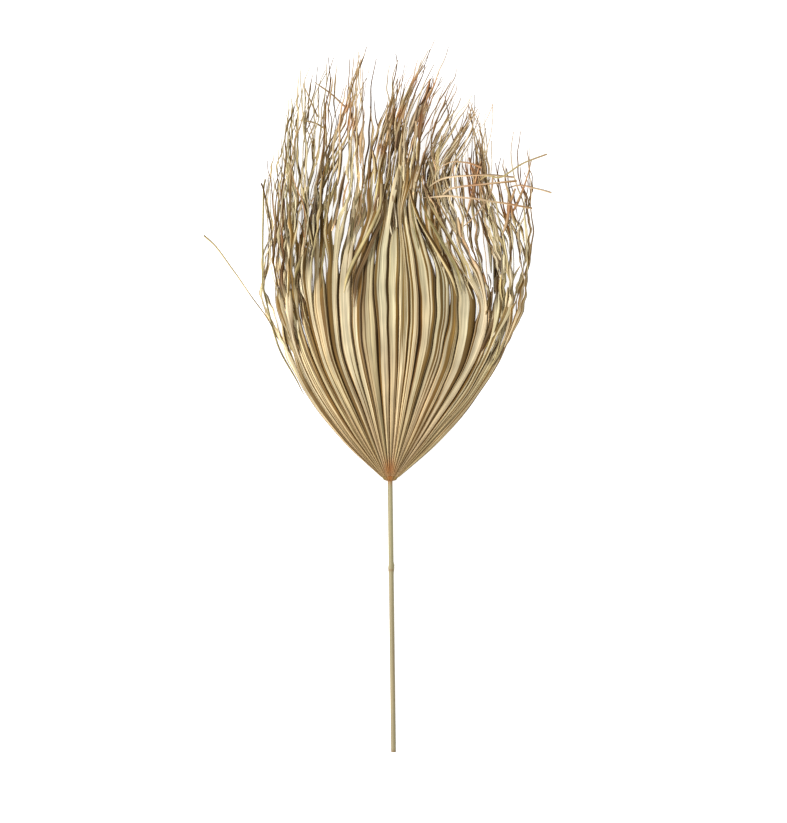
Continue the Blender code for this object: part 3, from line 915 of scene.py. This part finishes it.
def make_shreds(ribbons, material):
    """Short torn shreds among the strips, where the fan frays."""
    sheet = Sheet()
    for number in range(SHREDS):
        rng = random.Random(TONE_SEED * 7777 + number)
        ribbon = ribbons[2 + int((SEGMENTS - 4) * ((number * GOLDEN_STEP + 0.1) % 1))]
        share = ribbon.fork + 0.26 * rng.random() ** 1.5 - 0.02
        centre, _, up = ribbon.frame(share)
        ahead = ribbon.ahead(share).to_3d()
        right = ahead.cross(up).normalized()
        start = centre + right * rng.uniform(-7, 7) * MM + up * rng.uniform(-3, 4) * MM
        slant = math.radians(rng.uniform(-12, 12))
        length = rng.uniform(22, 70) * MM
        bend = rng.uniform(-0.12, 0.12)
        points = []
        for k in range(SHRED_POINTS):
            way = k / (SHRED_POINTS - 1)
            turn = slant + bend * (k - 2) * 0.7
            offset = ahead * math.cos(turn) + right * math.sin(turn)
            points.append(start + offset * (length * way) + up * (2 * MM * math.sin(math.pi * way)))
        shred = Loose(points, rng.uniform(2.5, 6.5) * MM, rng, sway=0.8 * MM, shred=True)
        shred.add_to(sheet)
    return sheet.make("blade_shreds", material, "blade")


def make_hastula(material):
    """The fused base of the folds: a flat collar that rounds off the hub, with a low swelling."""
    sheet = Sheet()
    outline = []
    for k in range(1, HASTULA_ROWS + 1):
        angle = math.pi / 2 * k / HASTULA_ROWS
        outline.append((HUB_HALF_WIDTH * math.sin(angle), -HASTULA_ROUND * math.cos(angle)))
    for k in range(1, HASTULA_ROWS + 1):
        share = k / HASTULA_ROWS
        outline.append((mix(HUB_HALF_WIDTH, HASTULA_CORNER[0], share), HASTULA_CORNER[1] * share))
    row = []
    for half_width, y in outline:
        before, row = row, []
        for k in range(HASTULA_COLUMNS + 1):
            out = 2 * k / HASTULA_COLUMNS - 1
            x = half_width * out
            swell = bell(x, 0, SWELL_REACH[0]) * bell(y, SWELL_Y, SWELL_REACH[1])
            point = Vector((x, y, HUB_HEIGHT + HASTULA_LEVEL + HASTULA_SWELL * swell))
            colour = blend(BROWN, HUB, swell + 0.3)
            colour = blend(colour, OLIVE, abs(x) / HASTULA_CORNER[0] + 0.1) * EXPOSURE_SHARE
            across = math.atan2(x, y + HUB_HALF_WIDTH) * HASTULA_FIBRES
            row.append(sheet.add_point(point, colour, across, math.hypot(x, y), HASTULA_MARK))
        sheet.join(before, row)
    return sheet.make("blade_hastula", material, "blade", crisp=False)


def petiole_centre(y):
    """Centre of the stem at y: flat on the table at the cut end, rising to the hub's underside."""
    hub_level = HUB_HEIGHT - TOUCH_GAP - PETIOLE_RADIUS
    rise = smooth(1 + y / PETIOLE_LENGTH * 1.5)
    x = -PETIOLE_SIDE_SHIFT * y / PETIOLE_LENGTH
    return Vector((x, y, mix(PETIOLE_RADIUS - PETIOLE_FLAT, hub_level, rise)))


def make_petiole(material):
    """The stem: a fibrous rod with a ringed knuckle, a cut end and a tongue under the blade."""
    sheet = Sheet()
    row = []
    for k in range(int((PETIOLE_LENGTH + PETIOLE_TONGUE) / PETIOLE_STEP) + 1):
        before, row = row, []
        y = -PETIOLE_LENGTH + k * PETIOLE_STEP
        near = (y - KNUCKLE_Y) / MM
        swell = sum(much * bell(near, middle, reach) for much, middle, reach in KNUCKLE_SWELLS)
        radius = PETIOLE_RADIUS * (1 + swell - TONGUE_TAPER * smooth(y / PETIOLE_TONGUE))
        centre = petiole_centre(y)
        if y > 0:
            centre.z += PETIOLE_RADIUS - radius
        share = -y / PETIOLE_LENGTH
        colour = blend(STEM_GREEN, STEM_TAN, eased(share, 0.2, 0.3))
        colour = blend(colour, BROWN, KNUCKLE_RING[0] * bell(near, *KNUCKLE_RING[1:]))
        colour = blend(colour, BROWN, 0.5 * eased(share, 0.985, 0.015))
        colour = blend(colour, HUB, 0.7 * smooth((y + 14 * MM) / (16 * MM))) * EXPOSURE_SHARE
        for side in range(PETIOLE_SIDES):
            angle = math.tau * side / PETIOLE_SIDES
            bud = KNUCKLE_BUD[0] * bell(near, *KNUCKLE_BUD[1:]) * max(0.0, math.sin(angle)) ** 3
            offset = Vector((math.sin(angle), 0, math.cos(angle))) * radius
            offset *= 1 + 0.012 * math.cos(5 * angle) + bud
            row.append(sheet.add_point(centre + offset, colour, angle * PETIOLE_RADIUS, y))
        row.append(row[0])
        if before:
            sheet.join(before, row)
        else:
            sheet.faces.append(tuple(row[:-1]))
    sheet.faces.append(tuple(reversed(row[:-1])))
    return sheet.make("petiole_rod", material, "petiole", thickness=0, crisp=False)


# Noise in the materials: how often it changes in a metre across and along the fibres, and its detail,
# and the values between which the broad one makes streaks
FINE_NOISE = (700, 14, 3)
BROAD_NOISE = (330, 6, 3)
BROAD_FADE = (0.38, 0.62)
PATCH_NOISE = (50, 5, 1)

# Thin dark lines lie where such a noise is low: the noise, and the values between which they fade
DARK_LINES = (((200, 1.6, 2), (0.43, 0.47)), ((320, 1.3, 1), (0.36, 0.40)))

# The dark line of a fold, painted shade in the crease and also its own brown: its strength, and how far
# from the ridge it starts and is full
FOLD_LINE = 0.9
FOLD_LINE_REACH = (0.82 * FIBRE_WIDTH, 0.96 * FIBRE_WIDTH)


def new_material(name):
    """A new material with nodes, and its Principled shader."""
    material = bpy.data.materials.new(name)
    material.use_nodes = True
    return material, material.node_tree.nodes["Principled BSDF"]


def settle(node, **values):
    """Sets inputs of a node, named with _ for a space."""
    for name, value in values.items():
        node.inputs[name.replace("_", " ")].default_value = value


def fibre_material(name, roughness, streaks, bump, line_strength, folds):
    """Straw or cane: the points' colours under streaks and thin dark lines along the fibres.

    With folds, each fold between two ribbons is a thin dark line too, partly painted shade. The points'
    colours hold painted light and shade too.
    """
    material, shader = new_material(name)
    nodes, links = material.node_tree.nodes, material.node_tree.links

    def added(kind, operation=None):
        node = nodes.new("ShaderNode" + kind)
        if operation:
            node.operation = operation
        return node

    tint = added("Attribute")
    tint.attribute_name = "tint"
    fibre = added("Attribute")
    fibre.attribute_name = "fibre"

    def noise(across, along, detail):
        """Noise stretched along the fibres."""
        scale = added("VectorMath", "MULTIPLY")
        scale.inputs[1].default_value = (across, along, 1)
        links.new(fibre.outputs["Vector"], scale.inputs[0])
        texture = added("TexNoise")
        settle(texture, Scale=1, Detail=detail)
        links.new(scale.outputs["Vector"], texture.inputs["Vector"])
        return texture.outputs["Fac"]

    def ramped(value, low, high, start=0.3, end=0.7):
        """Goes from low to high as value goes from start to end."""
        spread = added("MapRange")
        settle(spread, From_Min=start, From_Max=end, To_Min=low, To_Max=high)
        links.new(value, spread.inputs["Value"])
        return spread.outputs["Result"]

    def combined(operation, value, other):
        node = added("Math", operation)
        for socket, source in zip(node.inputs, (value, other)):
            if isinstance(source, float):
                socket.default_value = source
            else:
                links.new(source, socket)
        return node.outputs["Value"]

    def tinted(colour, share, nearer, further):
        """colour times a colour that goes from nearer to further with share."""
        mixed = added("Mix")
        mixed.data_type = "VECTOR"
        settle(mixed, A=nearer, B=further)
        links.new(share, mixed.inputs["Factor"])
        product = added("VectorMath", "MULTIPLY")
        links.new(colour, product.inputs[0])
        links.new(mixed.outputs["Result"], product.inputs[1])
        return product.outputs["Vector"]

    fine, broad = noise(*FINE_NOISE), noise(*BROAD_NOISE)
    fine_streaks = ramped(fine, 1 - streaks, 1 + streaks)
    broad_streaks = ramped(broad, 1 - streaks, 1 + streaks, *BROAD_FADE)
    streaked = combined("MULTIPLY", fine_streaks, broad_streaks)
    scaled = added("VectorMath", "SCALE")
    links.new(tint.outputs["Color"], scaled.inputs[0])
    links.new(streaked, scaled.inputs["Scale"])
    dark, finer = [ramped(noise(*size), line_strength, 0.0, *fade) for size, fade in DARK_LINES]
    dark = combined("MAXIMUM", dark, finer)
    # Fold lines: painted shade in the creases, as well as the folds' own brown
    if folds:
        place = added("SeparateXYZ")
        links.new(fibre.outputs["Vector"], place.inputs["Vector"])
        from_ridge = combined("PINGPONG", place.outputs["X"], FIBRE_WIDTH)
        fold = ramped(from_ridge, 0.0, FOLD_LINE, *FOLD_LINE_REACH)
        dark = combined("MAXIMUM", dark, fold)
    patches = ramped(noise(*PATCH_NOISE), 0.0, 1.0)
    patched = tinted(scaled.outputs["Vector"], patches, WARM_PATCH, COOL_PATCH)
    links.new(tinted(patched, dark, (1, 1, 1), DARK_LINE), shader.inputs["Base Color"])
    links.new(ramped(broad, roughness - 0.1, roughness + 0.1), shader.inputs["Roughness"])
    settle(shader, Specular_IOR_Level=0.2)
    relief = added("Bump")
    settle(relief, Strength=bump, Distance=0.15 * MM)
    links.new(fine, relief.inputs["Height"])
    links.new(relief.outputs["Normal"], shader.inputs["Normal"])
    return material


# The set: half size, drop, colour and glow of the floor, and name, place, size and power of each light
FLOOR_SIZE = 20.0
FLOOR_DROP = 0.2 * MM
FLOOR_GREY = (0.6, 0.6, 0.6, 1)
FLOOR_GLOW = 0.72
WHITE = (1, 1, 1, 1)
LIGHTS = (("key", (-1.8, -0.4, 1.8), 0.5, 85), ("overhead", (0.5, 0.4, 2.6), 2.0, 20))
LIGHTS_AIM = (0, 0.15, 0)
SURROUND = 0.7


def add_floor():
    """A plain pale floor, apart from the leaf."""
    size = FLOOR_SIZE
    mesh = bpy.data.meshes.new("floor")
    corners = [(-size, -size, 0), (size, -size, 0), (size, size, 0), (-size, size, 0)]
    mesh.from_pydata(corners, [], [(0, 1, 2, 3)])
    material, shader = new_material("floor")
    settle(shader, Base_Color=FLOOR_GREY, Roughness=0.9)
    settle(shader, Emission_Color=WHITE, Emission_Strength=FLOOR_GLOW)
    mesh.materials.append(material)
    floor = in_scene("floor", mesh)
    floor.location.z = -FLOOR_DROP


def add_lights(aim):
    """A large key light from the left, a wide soft one overhead, and a bright even surround."""
    for name, place, size, power in LIGHTS:
        light = bpy.data.lights.new(name, "AREA")
        light.shape = "DISK"
        light.size = size
        light.energy = power
        lamp = in_scene(name, light)
        lamp.location = aim + Vector(place)
        lamp.rotation_euler = (-Vector(place)).to_track_quat("-Z", "Y").to_euler()
    world = bpy.data.worlds.new("studio")
    world.use_nodes = True
    settle(world.node_tree.nodes["Background"], Color=WHITE, Strength=SURROUND)
    bpy.context.scene.world = world


# The photograph's frame: its size in pixels, its scale, and where the hub is in it
PHOTO_SIZE = (787, 823)
MM_PER_PIXEL = 1.4327
HUB_PIXEL = (390, 479)
CAMERA_HEIGHT = 2.8
LEAF_MIDDLE_HEIGHT = 20 * MM
SENSOR_WIDTH = 36
VIEW_END = 50


def add_camera():
    """A camera that looks straight down, framing the leaf as the photograph does."""
    camera = bpy.data.cameras.new("camera")
    camera.sensor_width = SENSOR_WIDTH
    camera.sensor_fit = "AUTO"
    tallest = max(PHOTO_SIZE) * MM_PER_PIXEL * MM
    camera.lens = SENSOR_WIDTH * (CAMERA_HEIGHT - LEAF_MIDDLE_HEIGHT) / tallest
    camera.clip_end = VIEW_END
    right = (PHOTO_SIZE[0] / 2 - HUB_PIXEL[0]) * MM_PER_PIXEL * MM
    beyond = (HUB_PIXEL[1] - PHOTO_SIZE[1] / 2) * MM_PER_PIXEL * MM
    eye = in_scene("camera", camera)
    eye.location = HUB_AT + Vector((right, beyond, CAMERA_HEIGHT))
    bpy.context.scene.camera = eye


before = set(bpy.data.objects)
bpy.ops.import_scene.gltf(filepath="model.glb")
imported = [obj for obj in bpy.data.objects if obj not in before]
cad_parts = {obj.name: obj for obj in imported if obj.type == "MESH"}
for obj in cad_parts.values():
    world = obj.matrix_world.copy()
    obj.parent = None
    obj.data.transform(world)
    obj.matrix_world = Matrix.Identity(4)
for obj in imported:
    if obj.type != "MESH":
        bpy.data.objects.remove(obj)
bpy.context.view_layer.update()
petiole_low, petiole_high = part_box("petiole")
hub_x = petiole_high[0] - PETIOLE_SIDE_SHIFT - PETIOLE_RADIUS
HUB_AT = Vector((hub_x, petiole_low[1] + PETIOLE_LENGTH, 0))

bpy.context.scene.view_settings.view_transform = "Standard"
straw = fibre_material("straw_fibre", 0.66, 0.26, 0.5, line_strength=1.0, folds=True)
cane = fibre_material("cane_fibre", 0.5, 0.08, 0.3, line_strength=0.15, folds=False)
all_folds = fold_places()
split_rng = random.Random(SEED + 1)
fold_splits = [split_share(place, split_rng) for place in all_folds]
fold_splits[0] = fold_splits[-1] = JOINED_ROWS[1]
wander_rng = random.Random(SEED + 2)
fold_wanders = [Crinkle(wander_rng, 0.16, (1.7, 3.9, 8.3)) for _ in all_folds]
all_ribbons = [Ribbon(index, all_folds, fold_splits, fold_wanders) for index in range(SEGMENTS)]
make_blade(all_ribbons, straw)
make_loose_strips(straw)
make_slivers(all_ribbons, straw)
make_shreds(all_ribbons, straw)
make_hastula(straw)
make_petiole(cane)
add_floor()
add_camera()
add_lights(HUB_AT + Vector(LIGHTS_AIM))
